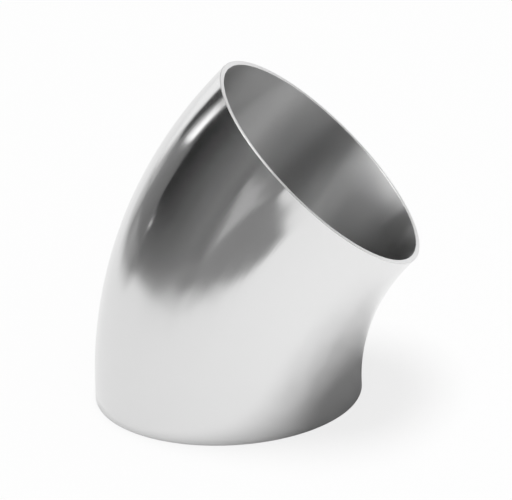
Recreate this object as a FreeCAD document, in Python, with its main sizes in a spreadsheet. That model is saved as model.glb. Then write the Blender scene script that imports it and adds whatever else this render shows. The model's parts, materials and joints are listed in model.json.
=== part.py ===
import FreeCAD, Part

import math
import os

import Sketcher

# Sanitary forty-five degree elbow: one thin-walled stainless bend for butt welding between two tubes.
# The outside diameter and the wall are the same from end to end, and the bend is a piece of a torus.
# Each end is sized round and straight over a short length, faced square and deburred inside and outside.
# The elbow stands on its lower end. The origin is the centre of the lower end face, +Z runs up the axis
# of the lower end, and the bend leans towards +X, so the XZ plane cuts it into two mirrored halves.

# Driving sizes: name, value in millimetres or degrees, and what it is.
DRIVING_SIZES = [
    ("tube_outside_diameter", 101.6, "Outside diameter of the tube and of both ends"),
    ("wall_thickness", 2.0, "Thickness of the tube's wall, even all round"),
    ("bend_radius", 127.0, "Radius of the bend, measured to the tube's centreline"),
    ("bend_angle", 45.0, "Angle between the axes of the two ends, in degrees"),
    ("sized_end_length", 2.0, "Straight length of each end, sized round for welding"),
    ("edge_break_radius", 0.2, "Radius that deburring leaves on the edges of each end"),
]

# How near an edge's centre has to be to an end's centre for the edge to belong to that end.
SAME_PLACE = 1e-4


def make_size_sheet(document):
    """Put the driving sizes in a spreadsheet, one row each, with an alias on every value."""
    sheet = document.addObject("Spreadsheet::Sheet", "sizes")
    for row, (alias, value, meaning) in enumerate(DRIVING_SIZES, start=1):
        sheet.set(f"A{row}", meaning)
        sheet.set(f"B{row}", str(value))
        sheet.setAlias(f"B{row}", alias)
    document.recompute()
    return sheet


def add_bound_constraint(sketch, kind, geometry, name, expression):
    """Add a dimension to the sketch and bind it to the sheet."""
    index = sketch.addConstraint(Sketcher.Constraint(kind, *geometry))
    sketch.renameConstraint(index, name)
    sketch.setExpression(f"Constraints.{name}", expression)


def add_tube_section(body, name, sheet):
    """Draw the tube's section, an outer and an inner circle about one centre, on the XY plane."""
    sketch = body.newObject("Sketcher::SketchObject", name)
    plane = next(item for item in body.Origin.OriginFeatures if item.Role == "XY_Plane")
    sketch.AttachmentSupport = [(plane, "")]
    sketch.MapMode = "FlatFace"
    outside = sheet.tube_outside_diameter
    circles = [
        ("outside_diameter", outside, "sizes.tube_outside_diameter"),
        (
            "inside_diameter",
            outside - 2 * sheet.wall_thickness,
            "sizes.tube_outside_diameter - 2 * sizes.wall_thickness",
        ),
    ]
    for label, diameter, expression in circles:
        centre = FreeCAD.Vector(0, 0, 0)
        circle = sketch.addGeometry(Part.Circle(centre, FreeCAD.Vector(0, 0, 1), diameter / 2))
        sketch.addConstraint(Sketcher.Constraint("Coincident", circle, 3, -1, 1))
        add_bound_constraint(sketch, "Diameter", (circle, diameter), label, expression)
    return sketch


def add_sized_end(body, section, name):
    """Extrude a tube section along its own normal into one straight, round end."""
    end = body.newObject("PartDesign::Pad", name)
    end.Profile = section
    end.setExpression("Length", "sizes.sized_end_length")
    return end


def add_bend(body, section, sheet):
    """Turn a tube section about an axis beside it, parallel to Y, which makes the torus of the bend."""
    radius = sheet.bend_radius
    half_length = sheet.tube_outside_diameter / 2
    first_end = FreeCAD.Vector(radius, -half_length, 0)
    last_end = FreeCAD.Vector(radius, half_length, 0)
    axis = section.addGeometry(Part.LineSegment(first_end, last_end), True)
    section.addConstraint(Sketcher.Constraint("Symmetric", axis, 1, axis, 2, -1))
    add_bound_constraint(
        section, "DistanceX", (-1, 1, axis, 1, radius), "bend_radius", "sizes.bend_radius"
    )
    add_bound_constraint(
        section, "Distance", (axis, 2 * half_length), "axis_length", "sizes.tube_outside_diameter"
    )
    bend = body.newObject("PartDesign::Revolution", "bend")
    bend.Profile = section
    bend.ReferenceAxis = (section, ["Axis0"])
    bend.setExpression("Angle", "sizes.bend_angle")
    return bend


def upper_end_frame(sheet):
    """Where the bend ends: the centre of the tube there, and the direction that the tube then runs in."""
    angle = math.radians(sheet.bend_angle)
    centre = FreeCAD.Vector(
        sheet.bend_radius * (1 - math.cos(angle)),
        0,
        sheet.sized_end_length + sheet.bend_radius * math.sin(angle),
    )
    direction = FreeCAD.Vector(math.sin(angle), 0, math.cos(angle))
    return centre, direction


def place_upper_section(section, sheet):
    """Carry the tube section to where the bend ends, square to the tube, and tie it to the sheet."""
    centre, _direction = upper_end_frame(sheet)
    turn = FreeCAD.Rotation(FreeCAD.Vector(0, 1, 0), sheet.bend_angle)
    section.AttachmentOffset = FreeCAD.Placement(centre, turn)
    section.setExpression(
        ".AttachmentOffset.Base.x", "sizes.bend_radius * (1 - cos(sizes.bend_angle * 1 deg))"
    )
    section.setExpression(
        ".AttachmentOffset.Base.z",
        "sizes.sized_end_length + sizes.bend_radius * sin(sizes.bend_angle * 1 deg)",
    )
    section.setExpression(".AttachmentOffset.Rotation.Angle", "sizes.bend_angle * 1 deg")


def end_edge_names(shape, sheet):
    """Name the round edges of the two end faces: each is a circle about one of the two end centres."""
    bend_end, direction = upper_end_frame(sheet)
    end_centres = [FreeCAD.Vector(0, 0, 0), bend_end + direction * sheet.sized_end_length]
    names = []
    for number, edge in enumerate(shape.Edges, start=1):
        if not isinstance(edge.Curve, Part.Circle):
            continue
        if any(edge.Curve.Center.distanceToPoint(place) < SAME_PLACE for place in end_centres):
            names.append(f"Edge{number}")
    return names


def make_elbow(document, sheet):
    """Build the elbow as one body: lower end, bend, upper end, and the deburred edges."""
    body = document.addObject("PartDesign::Body", "elbow")
    body.Label = "elbow"

    lower_section = add_tube_section(body, "lower_end_section", sheet)
    add_sized_end(body, lower_section, "lower_end")

    bend_section = add_tube_section(body, "bend_section", sheet)
    bend_section.AttachmentOffset.Base = FreeCAD.Vector(0, 0, sheet.sized_end_length)
    bend_section.setExpression(".AttachmentOffset.Base.z", "sizes.sized_end_length")
    add_bend(body, bend_section, sheet)

    upper_section = add_tube_section(body, "upper_end_section", sheet)
    place_upper_section(upper_section, sheet)
    upper_end = add_sized_end(body, upper_section, "upper_end")
    document.recompute()

    deburring = body.newObject("PartDesign::Fillet", "deburred_edges")
    deburring.Base = (upper_end, end_edge_names(upper_end.Shape, sheet))
    deburring.setExpression("Radius", "sizes.edge_break_radius")
    return body


def check_document(document, bodies):
    """Stop if any feature failed to compute, or if any body isn't one sound solid."""
    for item in document.Objects:
        if "Invalid" in item.State or "Error" in item.State:
            raise RuntimeError(f"{item.Label} did not compute: {item.State}")
    for body in bodies:
        if body.Shape.isNull() or not body.Shape.isValid() or len(body.Shape.Solids) != 1:
            raise RuntimeError(f"{body.Label} is not one sound solid")


def main():
    """Build the document, check it and write each body to its own STEP file."""
    document = FreeCAD.newDocument("sanitary_elbow")
    sheet = make_size_sheet(document)
    bodies = [make_elbow(document, sheet)]
    document.recompute()
    check_document(document, bodies)
    os.makedirs("parts", exist_ok=True)
    for body in bodies:
        body.Shape.exportStep(f"parts/{body.Label}.step")
        box = body.Shape.optimalBoundingBox()
        print(
            f"{body.Label}: {box.XLength:.2f} x {box.YLength:.2f} x {box.ZLength:.2f} mm,",
            f"volume {body.Shape.Volume:.1f} mm3",
        )


main()
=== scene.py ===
import json
import math
from typing import NamedTuple

import bpy
import numpy as np
from bpy.props import FloatProperty, FloatVectorProperty, PointerProperty
from mathutils import Matrix, Vector


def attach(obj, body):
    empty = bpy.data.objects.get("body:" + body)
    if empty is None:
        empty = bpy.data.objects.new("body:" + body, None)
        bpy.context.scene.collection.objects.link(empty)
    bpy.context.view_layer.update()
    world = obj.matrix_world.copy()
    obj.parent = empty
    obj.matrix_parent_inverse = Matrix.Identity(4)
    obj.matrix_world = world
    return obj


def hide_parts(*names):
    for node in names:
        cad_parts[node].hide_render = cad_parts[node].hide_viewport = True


bl_info = {
    "name": "Polished Tube Elbow",
    "version": (1, 0, 0),
    "blender": (4, 5, 0),
    "location": "3D View > Sidebar > Elbow",
    "description": "Dresses the forty-five degree tube elbow in polished stainless steel and lights it",
    "category": "Object",
}

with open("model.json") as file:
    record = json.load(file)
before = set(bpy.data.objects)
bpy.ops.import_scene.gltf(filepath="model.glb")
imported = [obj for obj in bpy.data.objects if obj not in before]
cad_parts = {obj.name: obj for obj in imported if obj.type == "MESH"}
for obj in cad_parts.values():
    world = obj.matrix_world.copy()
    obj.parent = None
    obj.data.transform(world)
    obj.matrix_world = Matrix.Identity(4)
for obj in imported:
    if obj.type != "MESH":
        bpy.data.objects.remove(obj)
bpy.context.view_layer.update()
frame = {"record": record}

MM = 0.001
NODE = "elbow"
# The elbow's finishes, in the order of its material slots.
FINISHES = ["outside", "bore", "face", "edge"]

# Attributes of the meshes: where a point was in the straight tube, the way that the finish blurs a
# reflection there, how brightly a board shines, and how much it covers.
STRAIGHT = "straight_tube"
SOFT_WAY = "soft_way"
BOARD_GLOW = "board_glow"
BOARD_COVER = "board_cover"

MOUNTS = {mount["name"]: mount for mount in frame["record"]["mounts"]}
OUTSIDE_RADIUS = MOUNTS["lower_outside"]["dims"]["r_mm"] * MM
BORE_RADIUS = MOUNTS["lower_bore"]["dims"]["r_mm"] * MM
UPPER_AXIS = MOUNTS["upper_end"]["axis"]

# How far the sizes below may miss the frame's upper end.
SIZE_TOLERANCE = 0.1 * MM


def linear_colour(code):
    """Turn an sRGB hex code into the linear red, green, blue and alpha that Blender's sockets hold."""
    parts = np.array([int(code[i : i + 2], 16) for i in (1, 3, 5)]) / 255
    linear = np.where(parts <= 0.04045, parts / 12.92, ((parts + 0.055) / 1.055) ** 2.4)
    return (*linear.tolist(), 1.0)


# Sizes, colours and light


class ElbowSizes(bpy.types.PropertyGroup):
    """Sizes of the elbow's tube."""

    outside_diameter: FloatProperty(
        name="Outside diameter",
        description="Outside diameter of the tube and of both ends",
        default=2 * OUTSIDE_RADIUS,
        unit="LENGTH",
    )
    bore_diameter: FloatProperty(
        name="Bore diameter",
        description="Inside diameter, which is the outside diameter less twice the wall",
        default=2 * BORE_RADIUS,
        unit="LENGTH",
    )
    bend_radius: FloatProperty(
        name="Bend radius",
        description="Radius of the bend, measured to the tube's centreline",
        default=127 * MM,
        unit="LENGTH",
    )
    bend_angle: FloatProperty(
        name="Bend angle",
        description="Angle between the axes of the two ends",
        default=math.atan2(UPPER_AXIS[0], UPPER_AXIS[2]),
        unit="ROTATION",
        subtype="ANGLE",
    )
    sized_end_length: FloatProperty(
        name="Sized end length",
        description="Straight length at each end, sized round for welding",
        default=2 * MM,
        unit="LENGTH",
    )
    edge_break: FloatProperty(
        name="Edge break",
        description="Radius that deburring leaves on the edges of the end faces",
        default=0.2 * MM,
        precision=5,
        unit="LENGTH",
    )


class ElbowFinish(bpy.types.PropertyGroup):
    """Colours of the polished steel."""

    outside_colour: FloatVectorProperty(
        name="Outside colour",
        description="Colour that the polished outside reflects",
        default=linear_colour("#E4E4E4"),
        size=4,
        subtype="COLOR",
    )
    bore_colour: FloatVectorProperty(
        name="Bore colour",
        description="Colour that the polished bore reflects",
        default=linear_colour("#DADADA"),
        size=4,
        subtype="COLOR",
    )
    face_colour: FloatVectorProperty(
        name="End face colour",
        description="Colour that the faced and deburred ends reflect",
        default=linear_colour("#E0E0E0"),
        size=4,
        subtype="COLOR",
    )


class StudioSettings(bpy.types.PropertyGroup):
    """Colours and light of the studio."""

    floor_colour: FloatVectorProperty(
        name="Floor colour",
        description="Colour of the plain pale floor",
        default=linear_colour("#F6F6F6"),
        size=4,
        subtype="COLOR",
    )
    key_strength: FloatProperty(
        name="Key lamp strength",
        description="Strength of the large soft lamp overhead, in watts per square metre",
        default=2.55,
    )
    ambient: FloatProperty(
        name="Ambient light",
        description="Strength of the even light from all round",
        default=0.285,
    )


# Shape of the tube

# Steps of the tube's mesh: round it, along each wall, round a deburred corner and across an end face.
STEPS_AROUND = 288
STEPS_ALONG = 72
STEPS_CORNER = 4
STEPS_FACE = 3

# A normal that runs along the tube by more than this share belongs to an end face.
END_FACE_SHARE = 0.999


def centreline(along, sizes):
    """Where the tube's centre is and which way it runs, at distances measured along the tube.

    The centre goes straight up for the sized end, then round an arc of the bend's radius in the XZ plane,
    then straight on. The angle turned is the distance into the arc over its radius, held between nought
    and the whole bend; what is left of the distance is laid off straight along the direction there.
    """
    arc = np.clip(along - sizes.sized_end_length, 0, sizes.bend_radius * sizes.bend_angle)
    turned = arc / sizes.bend_radius
    rest = along - sizes.sized_end_length - arc
    zero = np.zeros_like(along)
    direction = np.stack([np.sin(turned), zero, np.cos(turned)], -1)
    centre = np.stack(
        [
            sizes.bend_radius * (1 - np.cos(turned)),
            zero,
            sizes.sized_end_length + sizes.bend_radius * np.sin(turned),
        ],
        -1,
    )
    return centre + rest[..., None] * direction, direction


def tube_length(sizes):
    """Length of the tube along its centreline: both sized ends and the arc between them."""
    return 2 * sizes.sized_end_length + sizes.bend_radius * sizes.bend_angle


def wall_section(sizes):
    """The closed outline of the wall, cut lengthwise, as arrays: distance along the tube, radius, the
    outward normal's share along the tube and its share away from the centre, and the finish of each step.

    It is a rectangle of the wall's length and thickness with quarter-circle corners: up the outside,
    over the upper end face, down the bore and back under the lower end face.
    """
    edge = sizes.edge_break
    low, high = edge, tube_length(sizes) - edge
    outer, inner = sizes.outside_diameter / 2 - edge, sizes.bore_diameter / 2 + edge
    # Corner centres in order, each with the angle that its quarter circle starts at. Angle nought
    # points away from the centreline and a quarter turn points up the tube.
    corners = [(high, outer, 0), (high, inner, 1), (low, inner, 2), (low, outer, 3)]
    steps = {"outside": STEPS_ALONG, "face": STEPS_FACE, "bore": STEPS_ALONG}
    runs = ["face", "bore", "face", "outside"]
    along, radius, turn, finish = [], [], [], []
    for index, (centre_along, centre_radius, quarter) in enumerate(corners):
        angle = (quarter + np.linspace(0, 1, STEPS_CORNER + 1)) * math.pi / 2
        along.append(centre_along + edge * np.sin(angle))
        radius.append(centre_radius + edge * np.cos(angle))
        turn.append(angle)
        finish.append(np.full(STEPS_CORNER, FINISHES.index("edge")))
        run = runs[index]
        next_along, next_radius, _quarter = corners[(index + 1) % len(corners)]
        part = np.linspace(0, 1, steps[run] + 1)[1:-1]
        start = (along[-1][-1], radius[-1][-1])
        end_angle = (quarter + 1) * math.pi / 2
        end = (next_along + edge * math.sin(end_angle), next_radius + edge * math.cos(end_angle))
        along.append(start[0] + part * (end[0] - start[0]))
        radius.append(start[1] + part * (end[1] - start[1]))
        turn.append(np.full(part.size, end_angle))
        finish.append(np.full(steps[run], FINISHES.index(run)))
    turn = np.concatenate(turn)
    return (
        np.concatenate(along),
        np.concatenate(radius),
        np.sin(turn),
        np.cos(turn),
        np.concatenate(finish),
    )


def sweep_section(section, sizes):
    """Carry the wall's outline round the tube and along its bent centreline.

    A point at angle a round the tube and radius r from the centre is the centre there, plus r times
    (cos a times the direction to the inside of the bend, plus sin a times +Y). Its normal has the
    outline's two shares, along the tube and away from the centre. The third array is where the same
    point was in the straight tube, before bending: (r cos a, r sin a, distance along). The last is the way
    that the finish blurs a reflection: along the tube, and away from the centre on the end faces.
    """
    along, radius, normal_along, normal_out, _finish = section
    angle = np.linspace(0, 2 * math.pi, STEPS_AROUND, endpoint=False)[:, None]
    centre, direction = centreline(along, sizes)
    inward = np.stack([direction[:, 2], np.zeros_like(along), -direction[:, 0]], -1)
    side = np.array([0.0, 1.0, 0.0])
    away = np.cos(angle)[..., None] * inward + np.sin(angle)[..., None] * side
    points = centre + radius[:, None] * away
    normals = normal_along[:, None] * direction + normal_out[:, None] * away
    straight = np.stack(
        [
            radius * np.cos(angle),
            radius * np.sin(angle),
            np.broadcast_to(along, (STEPS_AROUND, along.size)),
        ],
        -1,
    )
    on_face = (np.abs(normal_along) > END_FACE_SHARE)[:, None]
    soft_way = np.where(on_face, away, direction)
    return points, normals, straight, soft_way


def closed_grid_faces(around, across):
    """Four-sided faces of a grid that closes on itself both ways, as one array of vertex numbers."""
    column = np.arange(around)[:, None]
    row = np.arange(across)[None, :]
    next_column, next_row = (column + 1) % around, (row + 1) % across
    corners = [
        column * across + row,
        next_column * across + row,
        next_column * across + next_row,
        column * across + next_row,
    ]
    return np.stack(np.broadcast_arrays(*corners), -1).reshape(-1, 4)


def mesh_from_arrays(name, points, faces):
    """Make a mesh from an array of points and an array of faces that all have as many corners."""
    mesh = bpy.data.meshes.new(name)
    corners = faces.shape[1]
    mesh.vertices.add(len(points))
    mesh.vertices.foreach_set("co", points.astype(np.float32).ravel())
    mesh.loops.add(faces.size)
    mesh.loops.foreach_set("vertex_index", faces.astype(np.int32).ravel())
    mesh.polygons.add(len(faces))
    mesh.polygons.foreach_set("loop_start", np.arange(0, faces.size, corners, dtype=np.int32))
    mesh.update(calc_edges=True)
    mesh.polygons.foreach_set("use_smooth", np.ones(len(faces), bool))
    return mesh


def link_new(name, data):
    """Put an object with this data into the scene."""
    made = bpy.data.objects.new(name, data)
    bpy.context.scene.collection.objects.link(made)
    return made


# Finishes


class Polish(NamedTuple):
    """How a surface is polished.

    It has a roughness and how much that varies either way, how deep the polishing lines and the waviness
    are, and how much it draws a reflection out along the tube.
    """

    roughness: float
    spread: float
    line_depth: float
    wave_depth: float
    stretch: float


OUTSIDE_POLISH = Polish(
    roughness=0.12, spread=0.03, line_depth=0.01 * MM, wave_depth=0.35 * MM, stretch=0.0
)
# The bore stays rougher than 0.275 all over: below that the render's noise filter takes metal for a
# mirror, and would draw false edges where the roughness crosses it.
BORE_POLISH = Polish(
    roughness=0.3, spread=0.02, line_depth=0.006 * MM, wave_depth=0.35 * MM, stretch=0.95
)
FACE_ROUGHNESS = 0.3
FACE_STRETCH = 0.9
EDGE_ROUGHNESS = (0.2, 0.45)

# Patterns in the steel, each with its size across the tube and along it and the detail of its noise:
# lines of the polishing belt, clouds of the mop, waves that bending leaves in the wall, and strokes of the
# file round the edge. Belt grit of 240 leaves lines 0.05 mm apart, too fine to show; drawn 1 mm apart.
LINES = (1 * MM, 60 * MM, 2.0)
CLOUDS = (20 * MM, 40 * MM, 3.0)
WAVES = (12 * MM, 30 * MM, 1.0)
STROKES = (3 * MM, 3 * MM, 2.0)
# The middle of the clouds' noise, which is drawn out to the whole range of roughness.
CLOUD_RANGE = (0.3, 0.7)
# The lathe's tool advances 0.1 mm a turn, and its grooves are too fine to show one by one: FACE_STRETCH
# gives what they do to a reflection. The rings drawn are a shallow wave, 0.4 mm for each radian of it, which
# is 2.5 mm from crest to crest. A wave texture of scale 1 turns through 20 radians in a unit of length.
RING_RADIAN = 0.4 * MM
RING_DEPTH = 0.01 * MM
WAVE_TEXTURE_RADIANS = 20


def add_node(tree, kind, inputs=None, **settings):
    """Add one node. Settings are its own properties; inputs gives its sockets a value or a link."""
    node = tree.nodes.new(kind)
    for name, value in settings.items():
        setattr(node, name, value)
    for key, value in (inputs or {}).items():
        if isinstance(value, bpy.types.NodeSocket):
            tree.links.new(value, node.inputs[key])
        else:
            node.inputs[key].default_value = value
    return node


def new_material(name):
    """Make an empty node material and return it with its node tree."""
    material = bpy.data.materials.new(name)
    material.use_nodes = True
    material.node_tree.nodes.clear()
    return material, material.node_tree


def straight_coordinates(tree, across, along):
    """Coordinates of the straight tube, in pattern lengths: across the tube and along it, in metres."""
    place = add_node(tree, "ShaderNodeAttribute", attribute_name=STRAIGHT)
    scale = (1 / across, 1 / across, 1 / along)
    mapping = add_node(
        tree, "ShaderNodeMapping", {"Vector": place.outputs["Vector"], "Scale": scale}
    )
    return mapping.outputs["Vector"]


def polished_material(name, colour, polish):
    """Stainless steel polished along the tube.

    The even part is a bright metal with a soft mirror. Polishing leaves fine lines along the tube and
    cloudy patches where the mirror is softer, and the bending before it leaves a slow waviness.
    """
    material, tree = new_material(name)
    lines, clouds, waves = (
        add_node(
            tree,
            "ShaderNodeTexNoise",
            {"Vector": straight_coordinates(tree, across, along), "Scale": 1.0, "Detail": detail},
        )
        for across, along, detail in (LINES, CLOUDS, WAVES)
    )
    softness = add_node(
        tree,
        "ShaderNodeMapRange",
        {
            "Value": clouds.outputs["Fac"],
            "From Min": CLOUD_RANGE[0],
            "From Max": CLOUD_RANGE[1],
            "To Min": polish.roughness - polish.spread,
            "To Max": polish.roughness + polish.spread,
        },
    )
    wavy = add_node(
        tree,
        "ShaderNodeBump",
        {"Height": waves.outputs["Fac"], "Strength": 1.0, "Distance": polish.wave_depth},
    )
    lined = add_node(
        tree,
        "ShaderNodeBump",
        {
            "Height": lines.outputs["Fac"],
            "Strength": 1.0,
            "Distance": polish.line_depth,
            "Normal": wavy.outputs["Normal"],
        },
    )
    soft_way = add_node(tree, "ShaderNodeAttribute", attribute_name=SOFT_WAY)
    surface = add_node(
        tree,
        "ShaderNodeBsdfPrincipled",
        {
            "Base Color": colour,
            "Metallic": 1.0,
            "Roughness": softness.outputs["Result"],
            "Anisotropic": polish.stretch,
            "Tangent": soft_way.outputs["Vector"],
            "Normal": lined.outputs["Normal"],
        },
    )
    add_node(tree, "ShaderNodeOutputMaterial", {"Surface": surface.outputs["BSDF"]})
    return material


def faced_material(name, colour):
    """Stainless steel faced square on a lathe.

    The tool leaves fine grooves round the end face, which draw a reflection out away from the tube's
    centre, and a slight wave across them.
    """
    material, tree = new_material(name)
    rings = add_node(
        tree,
        "ShaderNodeTexWave",
        {
            "Vector": straight_coordinates(tree, 1.0, 1.0),
            "Scale": 1 / (WAVE_TEXTURE_RADIANS * RING_RADIAN),
        },
        wave_type="RINGS",
        rings_direction="Z",
    )
    waved = add_node(
        tree,
        "ShaderNodeBump",
        {"Height": rings.outputs["Fac"], "Strength": 1.0, "Distance": RING_DEPTH},
    )
    soft_way = add_node(tree, "ShaderNodeAttribute", attribute_name=SOFT_WAY)
    surface = add_node(
        tree,
        "ShaderNodeBsdfPrincipled",
        {
            "Base Color": colour,
            "Metallic": 1.0,
            "Roughness": FACE_ROUGHNESS,
            "Anisotropic": FACE_STRETCH,
            "Tangent": soft_way.outputs["Vector"],
            "Normal": waved.outputs["Normal"],
        },
    )
    add_node(tree, "ShaderNodeOutputMaterial", {"Surface": surface.outputs["BSDF"]})
    return material


def edge_material(name, colour):
    """Stainless steel deburred by hand: a narrow bright edge, a little uneven."""
    material, tree = new_material(name)
    across, along, detail = STROKES
    strokes = add_node(
        tree,
        "ShaderNodeTexNoise",
        {"Vector": straight_coordinates(tree, across, along), "Scale": 1.0, "Detail": detail},
    )
    low, high = EDGE_ROUGHNESS
    softness = add_node(
        tree,
        "ShaderNodeMapRange",
        {"Value": strokes.outputs["Fac"], "To Min": low, "To Max": high},
    )
    surface = add_node(
        tree,
        "ShaderNodeBsdfPrincipled",
        {"Base Color": colour, "Metallic": 1.0, "Roughness": softness.outputs["Result"]},
    )
    add_node(tree, "ShaderNodeOutputMaterial", {"Surface": surface.outputs["BSDF"]})
    return material


def elbow_materials(finish):
    """The elbow's materials, in the order of FINISHES."""
    return [
        # Mop polish: a clear mirror of the room, a little soft and wavy.
        polished_material("stainless_polished_outside", finish.outside_colour, OUTSIDE_POLISH),
        # Belt polish along the tube: duller, with reflections drawn out along the lines.
        polished_material("stainless_polished_bore", finish.bore_colour, BORE_POLISH),
        # Lathe facing: an even satin ring, brighter or darker with the room that it faces.
        faced_material("stainless_faced_end", finish.face_colour),
        # Hand deburring: a thin bright line on each rim.
        edge_material("stainless_deburred_edge", finish.face_colour),
    ]


# Studio

# The floor's own roughness, how much of it the camera sees as plain white, half its side in metres, and the
# points along a side of its mesh.
FLOOR_ROUGHNESS = 0.5
FLOOR_CAMERA_SHARE = 0.8
FLOOR_HALF_SIZE = 20.0
FLOOR_POINTS = 3

# The lamp's direction from the elbow and how wide it looks from there, in degrees.
LAMP_AZIMUTH, LAMP_ELEVATION, LAMP_WIDTH = 145, 84, 28

# The camera, as fitted to the elbow's outline: turn about the vertical, height and tilt in degrees,
# distance from the aim, where it aims, the lens for a 36 mm wide picture, and how far it sees in metres.
CAMERA_TURN, CAMERA_HEIGHT, CAMERA_TILT = 5.376, 22.571, -2.597
CAMERA_DISTANCE = 1859.4 * MM
CAMERA_AIM = (25 * MM, 0.0, 60 * MM)
CAMERA_ASIDE, CAMERA_UP = -12.022 * MM, -2.295 * MM
CAMERA_LENS = 347.25
SENSOR_WIDTH = 36.0
CAMERA_REACH = 100.0


class Card(NamedTuple):
    """A studio card that only the metal sees.

    It has its corners in order round it as (turn, rise) in degrees, its grey at its first and fourth
    corners and at its second and third, how strongly it is lit, its distance as a share of CARD_DISTANCE,
    and whether it is clear at its first and fourth corners and fades in from there.
    """

    corners: list
    first: str
    last: str
    strength: float = 1.0
    distance: float = 1.0
    fades: bool = False


def patch(first_turn, last_turn, low, high):
    """Corners of a card between two turns and between two rises."""
    return [(first_turn, low), (last_turn, low), (last_turn, high), (first_turn, high)]


def soft_patch(first_turn, last_turn, low, high):
    """Corners of a card with soft edges that is half clear at these turns and rises."""
    half = SOFT_EDGE / 2
    return patch(first_turn - half, last_turn + half, low - half, high + half)


# Distance of the cards in metres, points along each side of one, and width of a soft edge in degrees.
# Where two cards overlap, the nearer one hides the other.
CARD_DISTANCE = 3.0
CARD_POINTS = 12
SOFT_EDGE = 5.0

# Cards round the elbow's flank, about CARD_CENTRE. A turn is an azimuth from +X towards +Y, and a rise is
# an elevation above the level.
CARD_CENTRE = (-5 * MM, -45 * MM, 80 * MM)
CARDS = {
    "card_wall_dark": Card([(163, -3), (176, -3), (176, 31), (154, 31)], "#303030", "#464646"),
    "card_wall_dark_top": Card(
        [(156.5, 17), (166, 15), (166, 31), (151.5, 31)], "#2C2C2C", "#303030", distance=0.995
    ),
    "card_wall_front": Card(patch(176, 213, -3, 31), "#464646", "#7E7E7E"),
    "card_wall_edge": Card(patch(213, 222.5, -3, 31), "#808080", "#6E6E6E"),
    "card_wall_foot": Card(
        [(158, 9), (158, -3), (222, -3), (222, 9)], "#7C7C7C", "#7C7C7C", distance=0.99, fades=True
    ),
    "card_mid_right": Card([(222.5, -3), (222.5, 31), (251, 20), (248, -3)], "#909090", "#707070"),
    "card_pale_wedge": Card(
        [(226, -1.5), (240, -0.5), (232.5, 9), (222, 13)], "#B8B8B8", "#B8B8B8", distance=0.98
    ),
    "card_fade_left": Card(patch(128, 138.5, -3, 9), "#8C8C8C", "#8C8C8C", fades=True),
    "card_grey_left": Card(
        [(138.5, -3), (163, -3), (161, 16), (138.5, 10)], "#8C8C8C", "#6C6C6C", distance=1.005
    ),
    "card_mid_left": Card(
        [(136, 4), (162, 12), (158, 24), (141, 24)], "#9A9A9A", "#6C6C6C", distance=1.01
    ),
    "card_shade_left": Card(
        [(133, 6), (137.5, 7), (144.5, 20), (131, 22)], "#464646", "#464646", distance=0.99
    ),
    "card_lit_window": Card(
        [(143.6, 10.9), (152.0, 15.3), (150.7, 22.2), (147.2, 20.6)], "#FFFFFF", "#FFFFFF", 1.4, 0.98
    ),
    "card_lit_gap": Card(
        [(159.5, 2.3), (163.5, 3.3), (163.5, 4.3), (159.5, 3.3)], "#FFFFFF", "#FFFFFF", distance=0.98
    ),
}

# Cards round the mouth, about its centre, with soft edges. A turn goes round the upper end's axis, from the
# inside of the bend towards +Y, and a rise goes from the mouth's plane towards that axis.
MOUTH_CARDS = {
    "card_mouth_strip_end": Card(soft_patch(214, 246, 4, 8), "#FFFFFF", "#FFFFFF", 3.1, 0.955),
    "card_mouth_strip": Card(soft_patch(170, 238, -3, 8), "#FFFFFF", "#FFFFFF", 6.0, 0.96),
    "card_mouth_pale": Card(soft_patch(272, 288, 28, 36), "#FFFFFF", "#FFFFFF", 4.0, 0.965),
    "card_mouth_high": Card(soft_patch(40, 128, 34, 74), "#8C8C8C", "#8C8C8C", distance=0.97),
    "card_mouth_side_dark": Card(soft_patch(102, 128, -3, 36), "#7A7A7A", "#7A7A7A", distance=0.975),
    "card_mouth_window": Card(soft_patch(144, 216, 46, 72), "#FFFFFF", "#FFFFFF", 4.0, 0.98),
    "card_mouth_mid": Card(soft_patch(214, 228, 20, 38), "#FFFFFF", "#FFFFFF", 2.7, 0.982),
    "card_mouth_mid_high": Card(soft_patch(158, 218, 26, 50), "#FFFFFF", "#FFFFFF", 1.2, 0.984),
    "card_mouth_right": Card(soft_patch(212, 388, 24, 68), "#595959", "#595959", distance=0.99),
    "card_mouth_mid_low": Card(soft_patch(184, 214, 20, 28), "#FFFFFF", "#FFFFFF", 4.0, 0.992),
    "card_mouth_camera": Card(soft_patch(262, 296, -3, 40), "#626262", "#626262", distance=0.995),
    "card_mouth_side": Card(soft_patch(8, 44, 36, 84), "#FFFFFF", "#FFFFFF", 3.6),
    "card_mouth_low": Card(soft_patch(112, 146, -3, 6), "#FFFFFF", "#FFFFFF", 2.8, 1.01),
    "card_mouth_back": Card(soft_patch(120, 344, 4, 78), "#595959", "#595959", distance=1.04),
    "card_mouth_top": Card(patch(-10, 360, 72, 93), "#E7E7E7", "#E7E7E7", distance=1.05),
}

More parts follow.
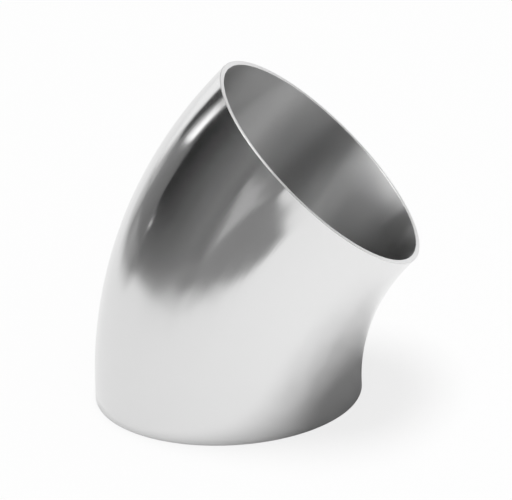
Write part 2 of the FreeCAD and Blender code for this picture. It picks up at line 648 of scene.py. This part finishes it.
# The dark ground past the edge of the white table. A row has where the edge is, as a turn and a distance
# from under CARD_CENTRE, which way the ground runs out from there, as an azimuth, how far out it has faded
# in, in metres, and how much of the table it covers then.
TABLE_EDGE = [
    (276, 0.196, 243.8, 0.02, 1.0),
    (264, 0.218, 243.8, 0.03, 1.0),
    (256.6, 0.225, 243.8, 0.06, 1.0),
    (249, 0.235, 243, 0.09, 1.0),
    (243, 0.245, 240, 0.12, 1.0),
    (237.6, 0.275, 236, 0.14, 1.0),
    (230, 0.320, 230, 0.16, 1.0),
    (223.4, 0.320, 224, 0.22, 1.0),
    (215, 0.300, 216, 0.32, 1.0),
    (208, 0.340, 209, 0.42, 1.0),
    (200, 0.450, 201, 0.42, 1.0),
    (191.4, 0.560, 192, 0.48, 1.0),
    (180.4, 0.720, 182, 0.65, 1.0),
    (169.6, 0.720, 171, 0.75, 1.0),
    (163, 0.500, 164, 0.60, 1.0),
    (157.7, 0.400, 158, 0.42, 1.0),
    (150, 0.380, 150, 0.32, 0.85),
    (145, 0.380, 145, 0.30, 0.80),
    (139, 0.370, 139, 0.40, 0.95),
    (134.5, 0.360, 134.5, 0.36, 0.65),
    (130, 0.360, 130, 0.36, 0.33),
    (125, 0.360, 125, 0.36, 0.0),
]
# Steps of the ground's mesh between two rows, its points from the edge out, how far out they go in metres,
# how high the ground lies over the table, and its grey.
GROUND_STEPS = 4
GROUND_POINTS = 24
GROUND_REACH = 5.0
GROUND_HEIGHT = 0.3 * MM
GROUND_GREY = "#8C8C8C"


def card_steps(width, soft):
    """Steps from nought to one across a card.

    They are even, but the first and the last of a soft card are as wide as its soft edge.
    """
    if not soft:
        return np.linspace(0, 1, CARD_POINTS)
    edge = soft / width
    return np.concatenate([[0], np.linspace(edge, 1 - edge, CARD_POINTS - 2), [1]])


def card_points(card, centre, axes, soft):
    """Points of a card, whose two angles run evenly between the four corners' angles.

    A point lies from the centre, at the card's distance, in the direction cos(rise) times (cos(turn) times
    the first axis plus sin(turn) times the second), plus sin(rise) times the third. The second array is
    how far across the card each point is, from nought to one.
    """
    first, second, _third, fourth = card.corners
    across = card_steps(math.dist(first, second), soft)[:, None, None]
    up = card_steps(math.dist(first, fourth), soft)[None, :, None]
    corners = np.radians(np.array(card.corners, float))
    low = corners[0] + (corners[1] - corners[0]) * across
    high = corners[3] + (corners[2] - corners[3]) * across
    turn, rise = np.moveaxis(low + (high - low) * up, -1, 0)
    shares = [np.cos(rise) * np.cos(turn), np.cos(rise) * np.sin(turn), np.sin(rise)]
    points = np.array(centre) + CARD_DISTANCE * card.distance * (np.stack(shares, -1) @ np.array(axes))
    return points, np.broadcast_to(across[..., 0], (CARD_POINTS, CARD_POINTS))


def open_grid_faces(columns, rows):
    """Four-sided faces of a grid with open edges, as one array of vertex numbers."""
    column = np.arange(columns - 1)[:, None]
    row = np.arange(rows - 1)[None, :]
    first = column * rows + row
    return np.stack([first, first + rows, first + rows + 1, first + 1], -1).reshape(-1, 4)


def board_material():
    """Painted studio board, sprayed from one grey to another: matt and even, with no shine of its own.

    It is as bright as its mesh says, and clear where its mesh says, so that a board can fade out. To a ray
    that has met something matt it is dark, so it lights nothing by way of the metal.
    """
    material, tree = new_material("painted_studio_board")
    glow = add_node(tree, "ShaderNodeAttribute", attribute_name=BOARD_GLOW)
    cover = add_node(tree, "ShaderNodeAttribute", attribute_name=BOARD_COVER)
    path = add_node(tree, "ShaderNodeLightPath")
    lit = add_node(
        tree,
        "ShaderNodeMapRange",
        {
            "Value": path.outputs["Diffuse Depth"],
            "To Min": glow.outputs["Fac"],
            "To Max": 0.0,
        },
    )
    board = add_node(tree, "ShaderNodeEmission", {"Strength": lit.outputs["Result"]})
    clear = add_node(tree, "ShaderNodeBsdfTransparent")
    mixed = add_node(
        tree,
        "ShaderNodeMixShader",
        {0: cover.outputs["Fac"], 1: clear.outputs["BSDF"], 2: board.outputs["Emission"]},
    )
    add_node(tree, "ShaderNodeOutputMaterial", {"Surface": mixed.outputs["Shader"]})
    material.cycles.emission_sampling = "NONE"
    return material


def make_board(name, points, glow, cover, material):
    """Put up a board from a grid of points, with its brightness and its cover at each of them."""
    columns, rows = points.shape[:2]
    mesh = mesh_from_arrays(name, points.reshape(-1, 3), open_grid_faces(columns, rows))
    for attribute, values in ((BOARD_GLOW, glow), (BOARD_COVER, cover)):
        held = mesh.attributes.new(attribute, "FLOAT", "POINT")
        held.data.foreach_set("value", np.broadcast_to(values, (columns, rows)).astype(np.float32).ravel())
    mesh.materials.append(material)
    board = link_new(name, mesh)
    seen_in_metal_only(board)


def seen_in_metal_only(made):
    """Hide a card from the camera and from the light, so that only reflections show it."""
    made.visible_camera = False
    made.visible_diffuse = False
    made.visible_shadow = False
    made.visible_transmission = False
    made.visible_volume_scatter = False


def make_cards(material):
    """Stand the studio's cards round the elbow and its mouth."""
    along = np.array(UPPER_AXIS)
    mouth_axes = [(along[2], 0, -along[0]), (0, 1, 0), along]
    groups = [
        (CARDS, CARD_CENTRE, np.eye(3), 0.0),
        (MOUTH_CARDS, MOUNTS["upper_end"]["pos_m"], mouth_axes, SOFT_EDGE),
    ]
    # A soft card covers nothing along its rim and everything from the next points in.
    soft_cover = np.zeros((CARD_POINTS, CARD_POINTS))
    soft_cover[1:-1, 1:-1] = 1
    for cards, centre, axes, soft in groups:
        for name, card in cards.items():
            points, across = card_points(card, centre, axes, soft)
            first, last = linear_colour(card.first)[0], linear_colour(card.last)[0]
            glow = card.strength * (first + (last - first) * across)
            cover = soft_cover if soft else np.ones_like(across)
            if card.fades:
                cover = cover * across
            make_board(name, points, glow, cover, material)


def make_ground(material):
    """Lay the dark ground past the table's edge.

    A line goes through the table's edge points, and from each point of it the ground runs straight out
    with steps that widen as the square of their number.
    """
    columns, rows = GROUND_STEPS * (len(TABLE_EDGE) - 1) + 1, GROUND_POINTS
    edge = np.array(TABLE_EDGE)
    place = np.linspace(0, len(edge) - 1, columns)
    turn, distance, azimuth, fade, share = (
        np.interp(place, np.arange(len(edge)), column) for column in edge.T
    )
    turn, azimuth = np.radians(turn), np.radians(azimuth)
    line = np.array(CARD_CENTRE[:2]) + distance[:, None] * np.stack([np.cos(turn), np.sin(turn)], -1)
    outward = np.stack([np.cos(azimuth), np.sin(azimuth)], -1)
    reach = GROUND_REACH * np.linspace(0, 1, rows) ** 2
    flat = line[:, None, :] + outward[:, None, :] * reach[None, :, None]
    points = np.concatenate([flat, np.full((columns, rows, 1), GROUND_HEIGHT)], -1)
    cover = share[:, None] * np.clip(reach / fade[:, None], 0, 1)
    make_board("card_ground", points, linear_colour(GROUND_GREY)[0], cover, material)


def floor_material(colour):
    """Painted board, rolled matt: pale and even to the camera, with a soft shadow where the elbow stands.

    The metal sees the board itself, and the elbow's shadow on it.
    """
    material, tree = new_material("matt_white_board")
    board = add_node(
        tree, "ShaderNodeBsdfDiffuse", {"Color": colour, "Roughness": FLOOR_ROUGHNESS}
    )
    glow = add_node(tree, "ShaderNodeEmission", {"Strength": 1.0})
    path = add_node(tree, "ShaderNodeLightPath")
    share = add_node(
        tree,
        "ShaderNodeMath",
        {0: path.outputs["Is Camera Ray"], 1: FLOOR_CAMERA_SHARE},
        operation="MULTIPLY",
    )
    mixed = add_node(
        tree,
        "ShaderNodeMixShader",
        {0: share.outputs[0], 1: board.outputs["BSDF"], 2: glow.outputs["Emission"]},
    )
    add_node(tree, "ShaderNodeOutputMaterial", {"Surface": mixed.outputs["Shader"]})
    material.cycles.emission_sampling = "NONE"
    return material


def make_floor(studio):
    """Lay the floor at the height that the elbow stands on."""
    side = np.linspace(-FLOOR_HALF_SIZE, FLOOR_HALF_SIZE, FLOOR_POINTS)
    x, y = np.meshgrid(side, side, indexing="ij")
    points = np.stack([x, y, np.zeros_like(x)], -1).reshape(-1, 3)
    mesh = mesh_from_arrays("studio_floor", points, open_grid_faces(FLOOR_POINTS, FLOOR_POINTS))
    mesh.materials.append(floor_material(studio.floor_colour))
    link_new("studio_floor", mesh)


def make_world(studio):
    """Even light from all round, and white where the camera or the metal sees past the floor."""
    world = bpy.data.worlds.new("studio_world")
    world.use_nodes = True
    tree = world.node_tree
    tree.nodes.clear()
    white = linear_colour("#FFFFFF")
    path = add_node(tree, "ShaderNodeLightPath")
    camera_or_metal = add_node(
        tree,
        "ShaderNodeMath",
        {0: path.outputs["Is Camera Ray"], 1: path.outputs["Is Glossy Ray"]},
        operation="MAXIMUM",
    )
    any_view = add_node(
        tree,
        "ShaderNodeMath",
        {0: camera_or_metal.outputs[0], 1: path.outputs["Is Transmission Ray"]},
        operation="MAXIMUM",
    )
    # A ray that has met something matt brings light and isn't a view.
    seen = add_node(
        tree,
        "ShaderNodeMath",
        {0: any_view.outputs[0], 1: path.outputs["Diffuse Depth"]},
        operation="SUBTRACT",
        use_clamp=True,
    )
    even, plain = (
        add_node(tree, "ShaderNodeBackground", {"Color": white, "Strength": strength})
        for strength in (studio.ambient, 1.0)
    )
    mixed = add_node(
        tree,
        "ShaderNodeMixShader",
        {0: seen.outputs[0], 1: even.outputs["Background"], 2: plain.outputs["Background"]},
    )
    add_node(tree, "ShaderNodeOutputWorld", {"Surface": mixed.outputs["Shader"]})
    bpy.context.scene.world = world


def hang_lamp(strength):
    """Hang the far, wide and soft lamp that lights the floor evenly and gives the elbow's soft shadow."""
    lamp = bpy.data.lights.new("key_lamp", "SUN")
    lamp.angle = math.radians(LAMP_WIDTH)
    lamp.energy = strength
    made = link_new("key_lamp", lamp)
    azimuth, elevation = math.radians(LAMP_AZIMUTH), math.radians(LAMP_ELEVATION)
    back = Vector(
        (
            math.cos(elevation) * math.cos(azimuth),
            math.cos(elevation) * math.sin(azimuth),
            math.sin(elevation),
        )
    )
    made.rotation_euler = back.to_track_quat("Z", "Y").to_euler()
    made.visible_glossy = False
    made.visible_camera = False


def make_camera():
    """Stand the camera at the angle that the elbow is seen from."""
    turn, height, tilt = (
        math.radians(value) for value in (CAMERA_TURN, CAMERA_HEIGHT, CAMERA_TILT)
    )
    back = Vector(
        (
            math.sin(turn) * math.cos(height),
            -math.cos(turn) * math.cos(height),
            math.sin(height),
        )
    )
    level = Vector((math.cos(turn), math.sin(turn), 0.0))
    upright = back.cross(level)
    right = math.cos(tilt) * level + math.sin(tilt) * upright
    up = -math.sin(tilt) * level + math.cos(tilt) * upright
    camera = bpy.data.cameras.new("camera")
    camera.lens = CAMERA_LENS
    camera.sensor_width = SENSOR_WIDTH
    camera.sensor_fit = "HORIZONTAL"
    camera.clip_end = CAMERA_REACH
    made = link_new("camera", camera)
    turned = Matrix((right, up, back)).transposed().to_4x4()
    place = Vector(CAMERA_AIM) + CAMERA_ASIDE * right + CAMERA_UP * up + CAMERA_DISTANCE * back
    made.matrix_world = Matrix.Translation(place) @ turned
    bpy.context.scene.camera = made


# Operators and panel


class ELBOW_OT_make_tube(bpy.types.Operator):
    """Build the polished elbow in place of the plain one"""

    bl_idname = "elbow.make_tube"
    bl_label = "Make Elbow"

    def execute(self, context):
        sizes, finish = context.scene.elbow_sizes, context.scene.elbow_finish
        upper_end = centreline(np.array([tube_length(sizes)]), sizes)[0][0]
        if np.abs(upper_end - MOUNTS["upper_end"]["pos_m"]).max() > SIZE_TOLERANCE:
            raise RuntimeError("the elbow's sizes don't reach the frame's upper end")
        section = wall_section(sizes)
        points, normals, straight, soft_way = sweep_section(section, sizes)
        faces = closed_grid_faces(STEPS_AROUND, section[0].size)
        mesh = mesh_from_arrays("elbow_tube", points.reshape(-1, 3), faces)
        place = mesh.attributes.new(STRAIGHT, "FLOAT_VECTOR", "POINT")
        place.data.foreach_set("vector", straight.astype(np.float32).ravel())
        way = mesh.attributes.new(SOFT_WAY, "FLOAT_VECTOR", "POINT")
        way.data.foreach_set("vector", soft_way.astype(np.float32).ravel())
        finish_of_faces = np.tile(section[-1], STEPS_AROUND)
        mesh.polygons.foreach_set("material_index", finish_of_faces.astype(np.int32))
        mesh.normals_split_custom_set_from_vertices(normals.reshape(-1, 3))
        for material in elbow_materials(finish):
            mesh.materials.append(material)
        tube = link_new("elbow_tube", mesh)
        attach(tube, "root")
        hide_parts(NODE)
        return {"FINISHED"}


class ELBOW_OT_make_studio(bpy.types.Operator):
    """Lay the floor, stand the cards, hang the lamp and set the camera"""

    bl_idname = "elbow.make_studio"
    bl_label = "Make Studio"

    def execute(self, context):
        studio = context.scene.elbow_studio
        make_floor(studio)
        boards = board_material()
        make_cards(boards)
        make_ground(boards)
        make_world(studio)
        hang_lamp(studio.key_strength)
        make_camera()
        context.scene.view_settings.view_transform = "Standard"
        return {"FINISHED"}


class ELBOW_PT_panel(bpy.types.Panel):
    """Sizes, finish and studio of the elbow"""

    bl_idname = "ELBOW_PT_panel"
    bl_label = "Elbow"
    bl_space_type = "VIEW_3D"
    bl_region_type = "UI"
    bl_category = "Elbow"

    def draw(self, context):
        layout = self.layout
        for group in (
            context.scene.elbow_sizes,
            context.scene.elbow_finish,
            context.scene.elbow_studio,
        ):
            for name in group.__annotations__:
                layout.prop(group, name)
            layout.separator()
        layout.operator(ELBOW_OT_make_tube.bl_idname)
        layout.operator(ELBOW_OT_make_studio.bl_idname)


CLASSES = (
    ElbowSizes,
    ElbowFinish,
    StudioSettings,
    ELBOW_OT_make_tube,
    ELBOW_OT_make_studio,
    ELBOW_PT_panel,
)


def register():
    """Register the classes and give the scene its settings."""
    for item in CLASSES:
        bpy.utils.register_class(item)
    bpy.types.Scene.elbow_sizes = PointerProperty(type=ElbowSizes)
    bpy.types.Scene.elbow_finish = PointerProperty(type=ElbowFinish)
    bpy.types.Scene.elbow_studio = PointerProperty(type=StudioSettings)


def unregister():
    """Take the settings and the classes away again."""
    del bpy.types.Scene.elbow_studio
    del bpy.types.Scene.elbow_finish
    del bpy.types.Scene.elbow_sizes
    for item in reversed(CLASSES):
        bpy.utils.unregister_class(item)


def main():
    register()
    bpy.ops.elbow.make_tube()
    bpy.ops.elbow.make_studio()


if __name__ == "__main__":
    main()
